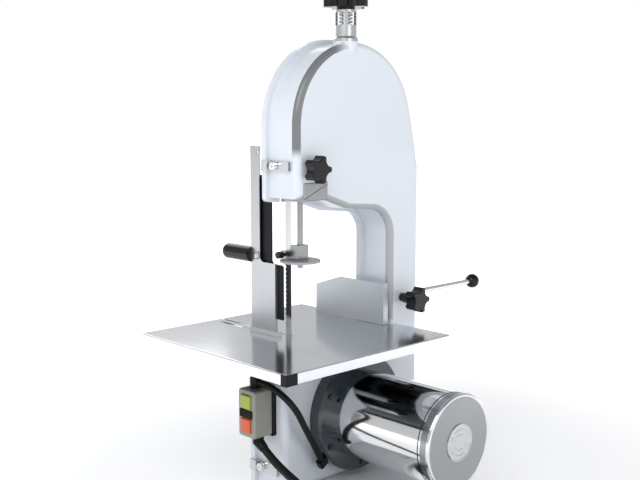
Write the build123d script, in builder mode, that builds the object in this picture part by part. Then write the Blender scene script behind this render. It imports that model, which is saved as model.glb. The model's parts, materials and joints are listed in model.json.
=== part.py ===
from build123d import *
import math
import os

# Table-top bone saw: an upright band saw for meat and bone, in millimetres.
# The origin is on the bench, at the middle of the four base holes. +Z is up, +X runs from the cutting run
# of the blade towards the column, and +Y points to the side with the doors. The motor is on the -Y side.

os.makedirs("parts", exist_ok=True)

# ---- driving dimensions -------------------------------------------------------------------------------
WHEEL_R = 105.0          # running radius of both wheels
WHEEL_WIDTH = 24.0
WASHER, NUT = 2.0, 3.6    # thickness of the washer and nut on both wheels
WHEEL_X = -8.0           # both wheel axes lie in this X
LOWER_Z = 154.0          # height of the motor shaft and lower wheel
WHEEL_DISTANCE = 495.0   # makes a 1650 mm blade
UPPER_Z = LOWER_Z + WHEEL_DISTANCE
BLADE_Y = 70.0           # middle plane of the blade
BLADE_WIDTH = 16.0
BLADE_THICKNESS = 0.7
BLADE_GAP = 0.3          # the blade clears the wheel by this
RUN = 0.05               # radial clearance of a running fit
GAP = 0.3                # least distance between pieces that move apart

TABLE_SIZE = 390.0
TABLE_X = -98.0
TABLE_TOP = 300.0
TABLE_SHEET = 2.5
TABLE_RIM = 17.0

BASE_LENGTH, BASE_DEPTH, BASE_HEIGHT = 366.0, 230.0, 20.0
HOLE_SPACING_X, HOLE_SPACING_Y, HOLE_R = 310.0, 180.0, 5.5
FOOT_HEIGHT, FOOT_R = 17.0, 22.0

WALL = 6.0               # casting wall
BACK_Y = 15.0            # flat face of the casting, on the motor side
EDGE_Y = 85.0            # open edge of the casting
FRAME_Y = 95.0           # front face of the door frames
DOOR_Y = 95.0            # front face of the doors
EDGE_ROUND = 12.0
BOX_LEFT, BODY_RIGHT = -173.0, 172.0
BOX_BOTTOM, BOX_TOP = FOOT_HEIGHT + BASE_HEIGHT, 278.0
ARM_LEFT, THROAT_X = -143.0, 91.0
HEAD_X, HEAD_Z, HEAD_R = 3.0, 666.0, 146.0
BACK_TURN_Z = 590.0      # where the sloping back meets the upright back
THROAT_R, ARM_UNDER_Z = 50.0, 517.0
FRAME_LIP = 8.0          # the door frames stand out this far round the casting
DOOR_LEFT = -124.0       # free edge of the upper door
DOOR_PLAY = 0.8          # gap round each door
DOOR_RIGHT = 157.2       # hinged edge of both doors
DOOR_SKIN, DOOR_RIB, DOOR_DEPTH = 3.0, 3.0, 6.7
HINGE_X, HINGE_Y, HINGE_R, PIN_R = 162.0, 100.0, 4.5, 2.5

MOTOR_FLANGE_R, MOTOR_R, SPIGOT_R = 106.0, 79.0, 30.0
FLANGE_FACE_Y, SHELL_END_Y, CAP_END_Y = -10.0, -213.0, -230.0
SHAFT_R, MOTOR_BEARING_R = 10.0, 21.0
CARRIER_HALF, CARRIER_FRONT = 32.0, 48.0
RAIL_WIDTH, RAIL_LIP, RAIL_LOW, RAIL_HIGH = 12.0, 4.0, 595.0, 715.0

TENSION_Y = 35.0
TOWER_BASE_Z, TOWER_TOP_Z = 813.0, 867.0
GUIDE_X, GUIDE_Y, POST_R = -112.0, 41.0, 5.0
GUIDE_PLATE_Z, GUIDE_PLATE_R = 434.0, 35.0
LOCK_Z = 595.0           # height of the guide lock screw
FENCE_X, FENCE_ROD_Y, FENCE_ROD_Z, ROD_R = 66.0, 32.0, 345.0, 5.0
FENCE_KNOB_X = 124.0
PUSHER_LEFT, NYLON_LEFT, PUSHER_RIGHT = -134.0, -128.5, -125.5
PUSHER_NEAR, PUSHER_FAR, PUSHER_LOW, PUSHER_TOP = 82.0, 147.0, 309.0, 632.0
HANDLE_X, HANDLE_Z = -131.0, 438.5
SWITCH_Y, SWITCH_Z = 61.75, 181.5

BLADE_IN = WHEEL_R + BLADE_GAP
CUT_X = WHEEL_X - BLADE_IN - BLADE_THICKNESS / 2
FACE_Y = BLADE_Y - WHEEL_WIDTH / 2   # back face of both wheels
INNER_BACK = BACK_Y + WALL
WHEEL_FRONT = FACE_Y + WHEEL_WIDTH
NUT_FRONT = WHEEL_FRONT + WASHER + NUT


# ---- helpers ------------------------------------------------------------------------------------------
def upright(y):
    """The upright plane at this Y, seen from the motor side: sketch x is X, sketch y is Z."""
    return Plane.XZ.offset(-y)


def side(x):
    """The upright plane at this X that looks along -X: sketch x is -Y, sketch y is Z."""
    return Plane(origin=(x, 0, 0), x_dir=(0, -1, 0), z_dir=(-1, 0, 0))


def save(builder, name):
    builder.part.label = name
    export_step(builder.part, f"parts/{name}.step")


def block(x0, x1, y0, y1, z0, z1):
    """A plain box between two corners, joined into the part that is being made."""
    with Locations(((x0 + x1) / 2, (y0 + y1) / 2, (z0 + z1) / 2)):
        Box(x1 - x0, y1 - y0, z1 - z0)


def cut_block(x0, x1, y0, y1, z0, z1):
    with Locations(((x0 + x1) / 2, (y0 + y1) / 2, (z0 + z1) / 2)):
        Box(x1 - x0, y1 - y0, z1 - z0, mode=Mode.SUBTRACT)


def rod_y(x, z, r, y0, y1, mode=Mode.ADD):
    with Locations(Location((x, (y0 + y1) / 2, z), (90, 0, 0))):
        Cylinder(r, abs(y1 - y0), mode=mode)


def rod_x(y, z, r, x0, x1, mode=Mode.ADD):
    with Locations(Location(((x0 + x1) / 2, y, z), (0, 90, 0))):
        Cylinder(r, abs(x1 - x0), mode=mode)


def rod_z(x, y, r, z0, z1, mode=Mode.ADD):
    with Locations((x, y, (z0 + z1) / 2)):
        Cylinder(r, abs(z1 - z0), mode=mode)


def body_outline(grow=0.0):
    """Outline of the casting, seen from the motor side: lower box, column and rounded head."""
    reach = math.hypot(BODY_RIGHT - HEAD_X, BACK_TURN_Z - HEAD_Z)
    turn = math.atan2(BACK_TURN_Z - HEAD_Z, BODY_RIGHT - HEAD_X) + math.acos(HEAD_R / reach)
    leave = (HEAD_X + HEAD_R * math.cos(turn), HEAD_Z + HEAD_R * math.sin(turn))
    bend = (THROAT_X - THROAT_R, ARM_UNDER_Z - THROAT_R)
    with BuildSketch() as sketch:
        with BuildLine():
            Polyline(
                (THROAT_X, bend[1]),
                (THROAT_X, BOX_TOP),
                (BOX_LEFT, BOX_TOP),
                (BOX_LEFT, BOX_BOTTOM),
                (BODY_RIGHT, BOX_BOTTOM),
                (BODY_RIGHT, BACK_TURN_Z),
                leave,
            )
            ThreePointArc(leave, (HEAD_X, HEAD_Z + HEAD_R), (ARM_LEFT, HEAD_Z))
            Polyline((ARM_LEFT, HEAD_Z), (ARM_LEFT, 545), (-73, 541), (-18, 522), (bend[0], ARM_UNDER_Z))
            ThreePointArc(
                (bend[0], ARM_UNDER_Z),
                (bend[0] + THROAT_R * math.sin(math.pi / 4), bend[1] + THROAT_R * math.cos(math.pi / 4)),
                (THROAT_X, bend[1]),
            )
        make_face()
        corner = sketch.vertices().sort_by(Axis.X)[:2].sort_by(Axis.Y)[-1]
        fillet(corner, 15)
        if grow:
            offset(amount=grow)
    return sketch.sketch


def star(x, y, r, lobes, deep):
    """A lobed star outline about a point."""
    with BuildSketch() as sketch:
        with Locations((x, y)):
            Circle(r)
            with PolarLocations(r * 1.18, lobes, start_angle=180 / lobes):
                Circle(deep, mode=Mode.SUBTRACT)
        fillet(sketch.vertices(), 2.0)
    return sketch.sketch


# ---- base ---------------------------------------------------------------------------------------------
with BuildPart() as base_plate:
    with BuildSketch(Plane.XY.offset(FOOT_HEIGHT)):
        RectangleRounded(BASE_LENGTH, BASE_DEPTH, 18)
    extrude(amount=BASE_HEIGHT)
    fillet(base_plate.faces().sort_by(Axis.Z)[-1].edges(), 4)
    with BuildSketch(Plane.XY.offset(FOOT_HEIGHT)):
        RectangleRounded(BASE_LENGTH - 2 * WALL, BASE_DEPTH - 2 * WALL, 12)
    extrude(amount=BASE_HEIGHT - WALL, mode=Mode.SUBTRACT)
    with BuildSketch(Plane.XY.offset(FOOT_HEIGHT)):
        with GridLocations(HOLE_SPACING_X, HOLE_SPACING_Y, 2, 2):
            Circle(FOOT_R - 4)
    extrude(amount=BASE_HEIGHT - 1)
    with BuildSketch(Plane.XY.offset(FOOT_HEIGHT)):
        with GridLocations(HOLE_SPACING_X, HOLE_SPACING_Y, 2, 2):
            Circle(HOLE_R)
    extrude(amount=BASE_HEIGHT, mode=Mode.SUBTRACT)
save(base_plate, "base_plate")

with BuildPart() as rubber_feet:
    with BuildSketch():
        with GridLocations(HOLE_SPACING_X, HOLE_SPACING_Y, 2, 2):
            Circle(FOOT_R)
            Circle(HOLE_R, mode=Mode.SUBTRACT)
    extrude(amount=FOOT_HEIGHT)
save(rubber_feet, "rubber_feet")

# ---- casting: an open pan with a rounded edge on the motor side ----------------------------------------
BOSS_R = 22.0
NOTCH = (-128.3, -71.7, BACK_Y - 5, 56.3, 530, 572.3)   # room for the guide clamp
with BuildPart() as body_casting:
    with BuildSketch(upright(EDGE_Y)):
        add(body_outline())
    extrude(amount=EDGE_Y - BACK_Y)
    fillet(body_casting.faces().sort_by(Axis.Y)[0].edges(), EDGE_ROUND)
    rod_z(WHEEL_X, TENSION_Y, BOSS_R, TOWER_BASE_Z - 20, TOWER_BASE_Z)
    with BuildSketch(upright(EDGE_Y)):
        add(body_outline(-WALL))
    extrude(amount=EDGE_Y - BACK_Y - WALL, mode=Mode.SUBTRACT)
    rod_y(WHEEL_X, LOWER_Z, SPIGOT_R, BACK_Y - 1, BACK_Y + WALL + 1, mode=Mode.SUBTRACT)
    for sign in (-1, 1):
        near = WHEEL_X + sign * (CARRIER_HALF + GAP)
        far = near + sign * RAIL_WIDTH
        lip = WHEEL_X + sign * (CARRIER_HALF - RAIL_LIP)
        block(min(near, far), max(near, far), INNER_BACK, CARRIER_FRONT + 4, RAIL_LOW, RAIL_HIGH)
        block(min(lip, near), max(lip, near), CARRIER_FRONT + GAP, CARRIER_FRONT + 4, RAIL_LOW, RAIL_HIGH)
    rod_z(WHEEL_X, TENSION_Y, 6.5, TOWER_BASE_Z - 40, TOWER_BASE_Z, mode=Mode.SUBTRACT)
    for wall_x in (THROAT_X, BODY_RIGHT - WALL):
        rod_x(FENCE_ROD_Y, FENCE_ROD_Z, ROD_R + 4, wall_x, wall_x + WALL, mode=Mode.SUBTRACT)
    rod_y(FENCE_KNOB_X, FENCE_ROD_Z, 5.5, BACK_Y, BACK_Y + WALL, mode=Mode.SUBTRACT)
    rod_y(GUIDE_X, LOCK_Z, 5.5, BACK_Y, BACK_Y + WALL, mode=Mode.SUBTRACT)
    cut_block(*NOTCH)
    cut_block(CUT_X - 6, CUT_X + 6, BLADE_Y - 12, EDGE_Y, 536, 560)
    cut_block(CUT_X - 7, CUT_X + 7, BLADE_Y - 12, EDGE_Y, BOX_TOP - WALL, BOX_TOP)
save(body_casting, "body_casting")

# ---- door frames and doors -----------------------------------------------------------------------------
def window(x0, x1, z0, z1):
    """A rectangle given by its corners, as a sketch."""
    with BuildSketch() as sketch:
        with Locations(((x0 + x1) / 2, (z0 + z1) / 2)):
            Rectangle(x1 - x0, z1 - z0)
    return sketch.sketch


NECK_TOP, FRAME_RIM = 303.0, 5.0
UPPER_ZONE = window(-400, 400, NECK_TOP, 900)
NECK_ZONE = window(THROAT_X - FRAME_LIP, 400, BOX_TOP - 1, NECK_TOP + 2)
LOWER_ZONE = window(-400, 400, BOX_BOTTOM + 0.4, BOX_TOP - 2)
UPPER_OPENING = window(DOOR_LEFT - DOOR_PLAY, DOOR_RIGHT + DOOR_PLAY, NECK_TOP + 6, 900)
LOWER_OPENING = window(-155, DOOR_RIGHT + DOOR_PLAY, BOX_BOTTOM + 20, 262)

with BuildPart() as upper_frame:
    with BuildSketch(upright(FRAME_Y)):
        add(body_outline(FRAME_LIP))
        add(UPPER_ZONE + NECK_ZONE, mode=Mode.INTERSECT)
    extrude(amount=FRAME_Y - EDGE_Y)
    with BuildSketch(upright(FRAME_Y)):
        add(body_outline(-FRAME_RIM))
        add(UPPER_OPENING, mode=Mode.INTERSECT)
    extrude(amount=FRAME_Y - EDGE_Y, mode=Mode.SUBTRACT)
    cut_block(CUT_X - 6, CUT_X + 6, EDGE_Y, FRAME_Y, 530, 560)
save(upper_frame, "upper_frame")

with BuildPart() as lower_frame:
    with BuildSketch(upright(FRAME_Y)):
        add(body_outline(FRAME_LIP))
        add(LOWER_ZONE, mode=Mode.INTERSECT)
    extrude(amount=FRAME_Y - EDGE_Y)
    with BuildSketch(upright(FRAME_Y)):
        add(body_outline(-FRAME_RIM))
        add(LOWER_OPENING, mode=Mode.INTERSECT)
    extrude(amount=FRAME_Y - EDGE_Y, mode=Mode.SUBTRACT)
save(lower_frame, "lower_frame")


HINGE_LENGTH = 50.0
UPPER_HINGES = (360.0, 540.0)
LOWER_HINGES = (95.0, 225.0)


def door(zone, grip_x, grip_z, hinges):
    """A door pan: a skin with a rib round its edge, the hole of its grip, and its hinge leaves."""
    with BuildPart() as pan:
        with BuildSketch(upright(DOOR_Y)):
            add(body_outline(-FRAME_RIM))
            add(zone, mode=Mode.INTERSECT)
            offset(amount=-DOOR_PLAY)
        extrude(amount=DOOR_DEPTH)
        with BuildSketch(upright(DOOR_Y - DOOR_SKIN)):
            add(body_outline(-FRAME_RIM))
            add(zone, mode=Mode.INTERSECT)
            offset(amount=-DOOR_PLAY - DOOR_RIB)
        extrude(amount=DOOR_Y, mode=Mode.SUBTRACT)
        rod_y(grip_x, grip_z, 4, EDGE_Y, DOOR_Y, mode=Mode.SUBTRACT)
        for z in hinges:
            block(140, HINGE_X - 2, DOOR_Y, DOOR_Y + 2, z + GAP, z + HINGE_LENGTH / 2)
            rod_z(HINGE_X, HINGE_Y, HINGE_R, z + GAP, z + HINGE_LENGTH / 2)
            rod_z(HINGE_X, HINGE_Y, PIN_R + 0.08, z, z + HINGE_LENGTH / 2 + 1, mode=Mode.SUBTRACT)
    return pan


UPPER_GRIP, LOWER_GRIP = (-100.0, 640.0), (-132.0, 158.0)
upper_door = door(UPPER_OPENING, *UPPER_GRIP, UPPER_HINGES)
save(upper_door, "upper_door")
lower_door = door(LOWER_OPENING, *LOWER_GRIP, LOWER_HINGES)
save(lower_door, "lower_door")

GRIP_PROFILE = [(0, 0), (9, 0), (9, 6), (15, 12), (15, 19), (11, 24), (0, 24)]


def grip(x, z):
    """A turned pull knob with a stud through the door."""
    with BuildPart() as knob:
        with BuildSketch(Plane(origin=(x, DOOR_Y, z), x_dir=(1, 0, 0), z_dir=(0, 0, 1))) as profile:
            with BuildLine():
                Polyline(*GRIP_PROFILE, close=True)
            make_face()
        revolve(axis=Axis((x, DOOR_Y, z), (0, 1, 0)))
        fillet(knob.edges().filter_by(GeomType.CIRCLE).sort_by(Axis.Y)[-3:], 1.5)
        rod_y(x, z, 4, DOOR_Y - DOOR_SKIN - 4, DOOR_Y)
        rod_y(x, z, 7, DOOR_Y - DOOR_SKIN - 4, DOOR_Y - DOOR_SKIN)
    return knob


save(grip(*UPPER_GRIP), "upper_door_grip")
save(grip(*LOWER_GRIP), "lower_door_grip")

with BuildPart() as door_hinges:
    for z in UPPER_HINGES + LOWER_HINGES:
        block(HINGE_X + 2, BODY_RIGHT + FRAME_LIP - 2, FRAME_Y, FRAME_Y + 2, z - HINGE_LENGTH / 2, z - GAP)
        rod_z(HINGE_X, HINGE_Y, HINGE_R, z - HINGE_LENGTH / 2, z - GAP)
        rod_z(HINGE_X, HINGE_Y, PIN_R, z - GAP, z + HINGE_LENGTH / 2 + GAP)
        rod_z(HINGE_X, HINGE_Y, HINGE_R - 1, z + HINGE_LENGTH / 2 + GAP, z + HINGE_LENGTH / 2 + 3)
save(door_hinges, "door_hinges")

# ---- clamps that hold the door frames to the rim -------------------------------------------------------
UPPER_CLAMP = (ARM_LEFT, 66.0, 600.0)
LOWER_CLAMP = (BOX_LEFT, 70.0, 76.0)
with BuildPart() as frame_clamps:
    for x, y, z in (UPPER_CLAMP, LOWER_CLAMP):
        block(x - 3, x, 33, 84, z - 9, z + 9)
        block(x - FRAME_LIP - 4, x, 78, EDGE_Y - 0.5, z - 9, z + 9)
        block(x - FRAME_LIP - 4, x - FRAME_LIP, 78, 94, z - 9, z + 9)
        block(x - 8, x, 27, 36, z - 7, z + 7)
        rod_x(y, z, 3, x - 13, x)
save(frame_clamps, "frame_clamps")


def clamp_knob(x, y, z):
    """A round knob on the stud of a clamp."""
    with BuildPart() as knob:
        rod_x(y, z, 7, x - 12, x - 3 - GAP)
        fillet(knob.edges().filter_by(GeomType.CIRCLE), 1)
        rod_x(y, z, 3 + RUN, x - 14, x, mode=Mode.SUBTRACT)
    return knob


save(clamp_knob(*UPPER_CLAMP), "upper_clamp_knob")
save(clamp_knob(*LOWER_CLAMP), "lower_clamp_knob")

# ---- wheels, blade and drive ---------------------------------------------------------------------------
WHEEL_LIP, HUB_R, RIM_IN, WEB_HALF = 2.5, 30.0, 92.0, 4.0


def wheel(z, bore):
    """A cast wheel: rim with a back lip, holed web and hub. The profile is drawn in X and Y."""
    back, front = FACE_Y, FACE_Y + WHEEL_WIDTH
    with BuildPart() as cast:
        with BuildSketch(Plane.XY.offset(z)):
            with BuildLine():
                Polyline(
                    (WHEEL_X + bore, back),
                    (WHEEL_X + HUB_R, back),
                    (WHEEL_X + HUB_R, BLADE_Y - WEB_HALF),
                    (WHEEL_X + RIM_IN, BLADE_Y - WEB_HALF),
                    (WHEEL_X + RIM_IN, back),
                    (WHEEL_X + WHEEL_R + WHEEL_LIP, back),
                    (WHEEL_X + WHEEL_R + WHEEL_LIP, back + 2),
                    (WHEEL_X + WHEEL_R, back + 2.5),
                    (WHEEL_X + WHEEL_R, front),
                    (WHEEL_X + RIM_IN, front),
                    (WHEEL_X + RIM_IN, BLADE_Y + WEB_HALF),
                    (WHEEL_X + HUB_R, BLADE_Y + WEB_HALF),
                    (WHEEL_X + HUB_R, front),
                    (WHEEL_X + bore, front),
                    close=True,
                )
            make_face()
        revolve(axis=Axis((WHEEL_X, 0, z), (0, 1, 0)))
        with BuildSketch(upright(front)):
            with Locations((WHEEL_X, z)):
                with PolarLocations((HUB_R + RIM_IN) / 2, 6):
                    Circle(20)
        extrude(amount=WHEEL_WIDTH, mode=Mode.SUBTRACT)
    return cast


BEARING_R, AXLE_R = 20.0, 8.5
upper_wheel = wheel(UPPER_Z, BEARING_R)
save(upper_wheel, "upper_wheel")
lower_wheel = wheel(LOWER_Z, SHAFT_R)
save(lower_wheel, "lower_wheel")


def bearing(x, z, inner, outer, y0, width):
    """One deep-groove ball bearing, with a groove between its rings on both faces."""
    rod_y(x, z, outer, y0, y0 + width)
    rod_y(x, z, inner, y0 - 1, y0 + width + 1, mode=Mode.SUBTRACT)
    middle = (inner + outer) / 2
    for y in (y0, y0 + width - 1.5):
        with BuildSketch(upright(y + 1.5)) as groove:
            with Locations((x, z)):
                Circle(middle + 2)
                Circle(middle - 2, mode=Mode.SUBTRACT)
        extrude(groove.sketch, amount=1.5, mode=Mode.SUBTRACT)


with BuildPart() as upper_bearings:
    bearing(WHEEL_X, UPPER_Z, AXLE_R + RUN, BEARING_R, FACE_Y, WHEEL_WIDTH / 2)
    bearing(WHEEL_X, UPPER_Z, AXLE_R + RUN, BEARING_R, FACE_Y + WHEEL_WIDTH / 2, WHEEL_WIDTH / 2)
save(upper_bearings, "upper_bearings")

with BuildPart() as blade:
    with BuildSketch(upright(BLADE_Y + BLADE_WIDTH / 2)):
        with Locations((WHEEL_X, (UPPER_Z + LOWER_Z) / 2)):
            SlotCenterToCenter(WHEEL_DISTANCE, 2 * (BLADE_IN + BLADE_THICKNESS), rotation=90)
            SlotCenterToCenter(WHEEL_DISTANCE, 2 * BLADE_IN, rotation=90, mode=Mode.SUBTRACT)
    extrude(amount=BLADE_WIDTH)
save(blade, "blade")

# ---- carrier of the upper wheel and its tension screw --------------------------------------------------
CARRIER_LOW, CARRIER_HIGH = 615.0, 700.0
COLLAR_R, STUD_R = 13.0, 5.0
SCREW_R, SCREW_TIP = 5.0, 668.0

with BuildPart() as wheel_carrier:
    block(WHEEL_X - CARRIER_HALF, WHEEL_X + CARRIER_HALF, INNER_BACK + GAP, CARRIER_FRONT,
          CARRIER_LOW, CARRIER_HIGH)
    chamfer(wheel_carrier.edges().filter_by(Axis.Z), 1)
    rod_y(WHEEL_X, UPPER_Z, AXLE_R, INNER_BACK, CARRIER_FRONT, mode=Mode.SUBTRACT)
    rod_z(WHEEL_X, TENSION_Y, SCREW_R + 2 * RUN, 659, CARRIER_HIGH, mode=Mode.SUBTRACT)
save(wheel_carrier, "wheel_carrier")

with BuildPart() as upper_axle:
    rod_y(WHEEL_X, UPPER_Z, AXLE_R, INNER_BACK + 2, WHEEL_FRONT)
    rod_y(WHEEL_X, UPPER_Z, COLLAR_R, CARRIER_FRONT, FACE_Y - GAP)
    rod_y(WHEEL_X, UPPER_Z, STUD_R, WHEEL_FRONT, NUT_FRONT)
save(upper_axle, "upper_axle")


def end_nut(z, washer_r, nut_r, stud_r):
    """The washer and thin nut that hold a wheel on its shaft."""
    with BuildPart() as nut:
        rod_y(WHEEL_X, z, washer_r, WHEEL_FRONT, WHEEL_FRONT + WASHER)
        with BuildSketch(upright(NUT_FRONT)):
            with Locations((WHEEL_X, z)):
                RegularPolygon(nut_r, 6)
        extrude(amount=NUT)
        rod_y(WHEEL_X, z, stud_r, FACE_Y, NUT_FRONT + 1, mode=Mode.SUBTRACT)
    return nut


save(end_nut(UPPER_Z, 14, 9, STUD_R), "axle_nut")

TOWER_R, TOWER_IN = 18.5, 13.0
with BuildPart() as tension_tower:
    with BuildSketch(Plane.XZ.offset(-TENSION_Y)):
        with BuildLine():
            Polyline(
                (WHEEL_X + TOWER_IN, TOWER_BASE_Z),
                (WHEEL_X + 21, TOWER_BASE_Z),
                (WHEEL_X + 21, TOWER_BASE_Z + 5),
                (WHEEL_X + TOWER_R, TOWER_BASE_Z + 9),
                (WHEEL_X + TOWER_R, TOWER_TOP_Z),
                (WHEEL_X + 7, TOWER_TOP_Z),
                (WHEEL_X + 7, TOWER_TOP_Z - 3),
                (WHEEL_X + TOWER_IN, TOWER_TOP_Z - 3),
                close=True,
            )
        make_face()
    revolve(axis=Axis((WHEEL_X, TENSION_Y, 0), (0, 0, 1)))
    with Locations((WHEEL_X, TENSION_Y, 852)):
        Box(20, 60, 22, mode=Mode.SUBTRACT)
        Box(60, 20, 22, mode=Mode.SUBTRACT)
save(tension_tower, "tension_tower")

DISC_IN, DISC_OUT, DISC_PITCH, DISC_COUNT = 5.6, 12.0, 3.0, 16
DISC_Z = TOWER_BASE_Z + 1.5
with BuildPart() as disc_springs:
    with BuildSketch(Plane.XZ.offset(-TENSION_Y)):
        for i in range(DISC_COUNT):
            low = DISC_Z + i * DISC_PITCH
            rise = 1.3 * (i % 2)
            fall = 1.3 - rise
            with BuildLine():
                Polyline(
                    (WHEEL_X + DISC_IN, low + rise),
                    (WHEEL_X + DISC_OUT, low + fall),
                    (WHEEL_X + DISC_OUT, low + fall + 1.2),
                    (WHEEL_X + DISC_IN, low + rise + 1.2),
                    close=True,
                )
            make_face()
    revolve(axis=Axis((WHEEL_X, TENSION_Y, 0), (0, 0, 1)))
save(disc_springs, "disc_springs")

with BuildPart() as tension_screw:
    rod_z(WHEEL_X, TENSION_Y, SCREW_R, SCREW_TIP, 880)
    chamfer(tension_screw.edges().filter_by(GeomType.CIRCLE).sort_by(Axis.Z)[0], 1.5)
save(tension_screw, "tension_screw")

with BuildPart() as tension_knob:
    rod_z(WHEEL_X, TENSION_Y, 16, TOWER_TOP_Z + 1, TOWER_TOP_Z + 7)
    with BuildSketch(Plane.XY.offset(TOWER_TOP_Z + 5)):
        add(star(WHEEL_X, TENSION_Y, 40, 5, 20))
    extrude(amount=23)
    fillet(tension_knob.faces().sort_by(Axis.Z)[-1].edges(), 3)
    rod_z(WHEEL_X, TENSION_Y, SCREW_R, TOWER_TOP_Z, 880, mode=Mode.SUBTRACT)
save(tension_knob, "tension_knob")

# ---- motor ---------------------------------------------------------------------------------------------
def turned(points):
    """Revolves an outline of (radius, y) points about the motor axis."""
    with BuildSketch(Plane.XY.offset(LOWER_Z)) as profile:
        with BuildLine():
            Polyline(*[(WHEEL_X + r, y) for r, y in points], close=True)
        make_face()
    revolve(profile.sketch, axis=Axis((WHEEL_X, 0, LOWER_Z), (0, 1, 0)))


SHELL_IN = MOTOR_R - 3
with BuildPart() as motor_flange:
    turned([
        (SHAFT_R + 1, 3), (SHAFT_R + 1, 22), (MOTOR_BEARING_R, 22), (MOTOR_BEARING_R, 40),
        (SPIGOT_R - 0.1, 40), (SPIGOT_R - 0.1, BACK_Y), (MOTOR_FLANGE_R, BACK_Y),
        (MOTOR_FLANGE_R, FLANGE_FACE_Y + 4), (MOTOR_FLANGE_R - 4, FLANGE_FACE_Y),
        (SHELL_IN, FLANGE_FACE_Y), (SHELL_IN, -14), (70, -14), (70, 3),
    ])
save(motor_flange, "motor_flange")

with BuildPart() as motor_shell:
    turned([(SHELL_IN, FLANGE_FACE_Y), (MOTOR_R, FLANGE_FACE_Y), (MOTOR_R, SHELL_END_Y),
            (SHELL_IN, SHELL_END_Y)])
save(motor_shell, "motor_shell")

CAP_R, CAP_BACK_Y, REAR_BEARING_Y = MOTOR_R + 1.5, CAP_END_Y + 3.5, -222.0
with BuildPart() as motor_end_cap:
    turned([
        (CAP_R - 3, SHELL_END_Y), (CAP_R, SHELL_END_Y), (CAP_R, -224), (CAP_R - 2, -227.5),
        (CAP_R - 6, CAP_END_Y), (0, CAP_END_Y), (0, CAP_BACK_Y), (MOTOR_BEARING_R, CAP_BACK_Y),
        (MOTOR_BEARING_R, -208), (MOTOR_BEARING_R + 6, -208), (MOTOR_BEARING_R + 6, CAP_BACK_Y),
        (CAP_R - 7, CAP_BACK_Y), (CAP_R - 3, -222),
    ])
save(motor_end_cap, "motor_end_cap")

STATOR_IN, ROTOR_R, SHAFT_STUD_R = 48.0, 47.0, 6.0
with BuildPart() as motor_stator:
    turned([
        (STATOR_IN, -50), (STATOR_IN + 3, -50), (STATOR_IN + 3, -32), (SHELL_IN - 6, -32),
        (SHELL_IN - 6, -50), (SHELL_IN, -50), (SHELL_IN, -170), (SHELL_IN - 6, -170),
        (SHELL_IN - 6, -188), (STATOR_IN + 3, -188), (STATOR_IN + 3, -170), (STATOR_IN, -170),
    ])
save(motor_stator, "motor_stator")

with BuildPart() as motor_bearings:
    bearing(WHEEL_X, LOWER_Z, SHAFT_R + RUN, MOTOR_BEARING_R, 22, 14)
    bearing(WHEEL_X, LOWER_Z, SHAFT_R + RUN, MOTOR_BEARING_R, REAR_BEARING_Y, 14)
save(motor_bearings, "motor_bearings")

with BuildPart() as motor_shaft:
    rod_y(WHEEL_X, LOWER_Z, SHAFT_R, -224, WHEEL_FRONT)
    rod_y(WHEEL_X, LOWER_Z, ROTOR_R, -168, -52)
    rod_y(WHEEL_X, LOWER_Z, SHAFT_STUD_R, WHEEL_FRONT, NUT_FRONT)
save(motor_shaft, "motor_shaft")

save(end_nut(LOWER_Z, 18, 10.5, SHAFT_STUD_R), "wheel_nut")

# ---- table ---------------------------------------------------------------------------------------------
TABLE_LEFT, TABLE_RIGHT = TABLE_X - TABLE_SIZE / 2, TABLE_X + TABLE_SIZE / 2
TABLE_NEAR, TABLE_FAR = BLADE_Y - TABLE_SIZE / 2, BLADE_Y + TABLE_SIZE / 2
NOTCH_X, NOTCH_NEAR, NOTCH_FAR = 81.0, 8.0, 98.0
KEY_X, KEY_WIDTH = -130.5, 5.0
KEY_SLOT = (99.0, 241.5)
with BuildPart() as table_top:
    block(TABLE_LEFT, TABLE_RIGHT, TABLE_NEAR, TABLE_FAR, TABLE_TOP - TABLE_RIM, TABLE_TOP)
    fillet(table_top.edges().filter_by(Axis.Z), 3)
    fillet(table_top.faces().sort_by(Axis.Z)[-1].edges(), 2)
    cut_block(TABLE_LEFT + TABLE_SHEET, TABLE_RIGHT - TABLE_SHEET, TABLE_NEAR + TABLE_SHEET,
              TABLE_FAR - TABLE_SHEET, TABLE_TOP - TABLE_RIM, TABLE_TOP - TABLE_SHEET)
    cut_block(NOTCH_X, TABLE_RIGHT, NOTCH_NEAR, NOTCH_FAR, TABLE_TOP - TABLE_RIM, TABLE_TOP)
    cut_block(CUT_X - 2, CUT_X + 2, BLADE_Y - 10, TABLE_FAR, TABLE_TOP - TABLE_RIM, TABLE_TOP)
    cut_block(KEY_X - KEY_WIDTH / 2 - 0.5, KEY_X + KEY_WIDTH / 2 + 0.5, *KEY_SLOT,
              TABLE_TOP - TABLE_SHEET, TABLE_TOP)
save(table_top, "table_top")

RAIL_X = (-152.0, -85.0, 50.0)
RAIL_TOP = TABLE_TOP - TABLE_SHEET
with BuildPart() as table_rails:
    for x in RAIL_X:
        block(x - 10, x + 10, -60, 200, BOX_TOP, RAIL_TOP)
        cut_block(x - 7, x + 7, -60, 200, BOX_TOP + 3, RAIL_TOP)
save(table_rails, "table_rails")

BASE_SCREWS = [(x, y) for x in (-130, 130) for y in (34, 66)]
TABLE_SCREWS = [(x, y) for x in RAIL_X for y in (30, 66)]
with BuildPart() as frame_screws:
    for spots, z in ((BASE_SCREWS, BOX_BOTTOM + WALL), (TABLE_SCREWS, BOX_TOP - WALL - 4)):
        with BuildSketch(Plane.XY.offset(z)):
            with Locations(*spots):
                RegularPolygon(5.5, 6)
        extrude(amount=4)
    with BuildSketch(upright(FLANGE_FACE_Y)):
        with Locations((WHEEL_X, LOWER_Z)):
            with PolarLocations(92, 6, start_angle=30):
                RegularPolygon(5.5, 6)
    extrude(amount=4)
save(frame_screws, "frame_screws")

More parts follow.
